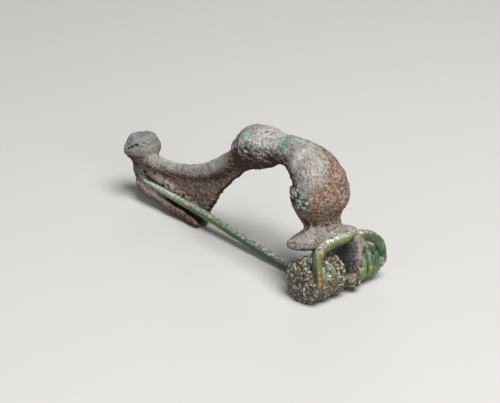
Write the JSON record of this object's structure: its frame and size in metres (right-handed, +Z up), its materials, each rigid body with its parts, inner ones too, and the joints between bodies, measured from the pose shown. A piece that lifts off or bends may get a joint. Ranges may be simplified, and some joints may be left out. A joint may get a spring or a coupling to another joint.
{
  "type": "roman bow brooch",
  "caption": "Excavated bow brooch: cast bow with knobs, support plate, chord hook and catchplate, and a coiled wire spring that ends in the pin.",
  "frame": {"origin": "on the resting plane, below the middle of the brooch's box", "axes": "+X runs from the foot knob to the head and spring; +Z up from the resting plane; the pin side is -Y"},
  "size_m": [0.0454, 0.0126, 0.0176],
  "materials": {
    "bow_patina": "matt grey-brown burial patina with earthy crust and small turquoise patches",
    "spring_patina": "green patina worn to bare copper colour in places, speckled soil crust between the turns"
  },
  "bodies": {
    "root": {"bow": "bow_patina", "spring_and_pin": "spring_patina"}
  },
  "joints": []
}
